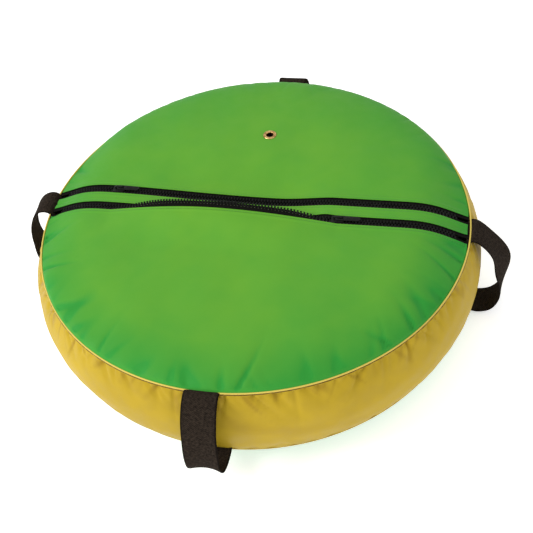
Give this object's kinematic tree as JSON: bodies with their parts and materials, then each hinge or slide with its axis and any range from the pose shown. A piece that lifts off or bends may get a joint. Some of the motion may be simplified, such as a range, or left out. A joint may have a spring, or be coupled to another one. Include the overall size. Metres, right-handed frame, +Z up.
{
  "type": "towable tube",
  "caption": "Round low float: a sewn cloth cover with zippers across its flat top, webbing loop handles round the side and an inflated rubber ring inside.",
  "frame": {"origin": "on the ground under the centre of the ring, at the bottom of the base cloth", "axes": "+Z up, +X along the zippers towards the end where the front zipper is still closed, +Y towards the eyelet's side"},
  "size_m": [0.7004, 0.7004, 0.1892],
  "materials": {
    "green_cloth": "matt coated nylon",
    "yellow_cloth": "matt coated nylon",
    "base_cloth": "matt coated nylon",
    "tube_rubber": "satin",
    "zipper_tape": "woven",
    "zipper_teeth": "moulded",
    "webbing": "woven",
    "brass": "polished",
    "moulded_plastic": "moulded"
  },
  "bodies": {
    "cover": {"top_panel_front": "green_cloth", "top_panel_rear": "green_cloth", "centre_strip": "green_cloth", "side_band": "yellow_cloth", "bottom_panel": "base_cloth", "inner_tube": "tube_rubber", "valve_stem": "tube_rubber", "valve_core": "brass", "eyelet_ring": "brass", "eyelet_washer": "brass", "handle_right": "webbing", "handle_rear": "webbing", "handle_left": "webbing", "handle_front": "webbing", "front_zipper_front_tape": "zipper_tape", "front_zipper_front_teeth": "zipper_teeth", "front_zipper_rear_tape": "zipper_tape", "front_zipper_rear_teeth": "zipper_teeth", "rear_zipper_front_tape": "zipper_tape", "rear_zipper_front_teeth": "zipper_teeth", "rear_zipper_rear_tape": "zipper_tape", "rear_zipper_rear_teeth": "zipper_teeth"},
    "front_slider": {"front_slider": "moulded_plastic"},
    "front_pull_tab": {"front_pull_tab": "moulded_plastic"},
    "rear_slider": {"rear_slider": "moulded_plastic"},
    "rear_pull_tab": {"rear_pull_tab": "moulded_plastic"},
    "valve_cap": {"valve_cap": "moulded_plastic"}
  },
  "joints": [
    {"name": "front_zipper_slide", "type": "slide", "parent": "cover", "child": "front_slider", "axis": [1, 0, 0], "range_m": [-0.317, 0.073], "deforming": ["front_zipper_front_tape", "front_zipper_front_teeth", "front_zipper_rear_tape", "front_zipper_rear_teeth"]},
    {"name": "front_pull_tab_hinge", "type": "hinge", "parent": "front_slider", "child": "front_pull_tab", "pos_m": [0.122, -0.017, 0.1713], "axis": [0, -1, 0], "range_deg": [0, 165]},
    {"name": "rear_zipper_slide", "type": "slide", "parent": "cover", "child": "rear_slider", "axis": [1, 0, 0], "range_m": [0, 0.39], "deforming": ["rear_zipper_front_tape", "rear_zipper_front_teeth", "rear_zipper_rear_tape", "rear_zipper_rear_teeth"]},
    {"name": "rear_pull_tab_hinge", "type": "hinge", "parent": "rear_slider", "child": "rear_pull_tab", "pos_m": [-0.195, 0.017, 0.1713], "axis": [0, -1, 0], "range_deg": [0, 165]},
    {"name": "valve_cap_lift", "type": "slide", "parent": "cover", "child": "valve_cap", "axis": [0, -1, 0], "range_m": [0, 0.02]}
  ]
}
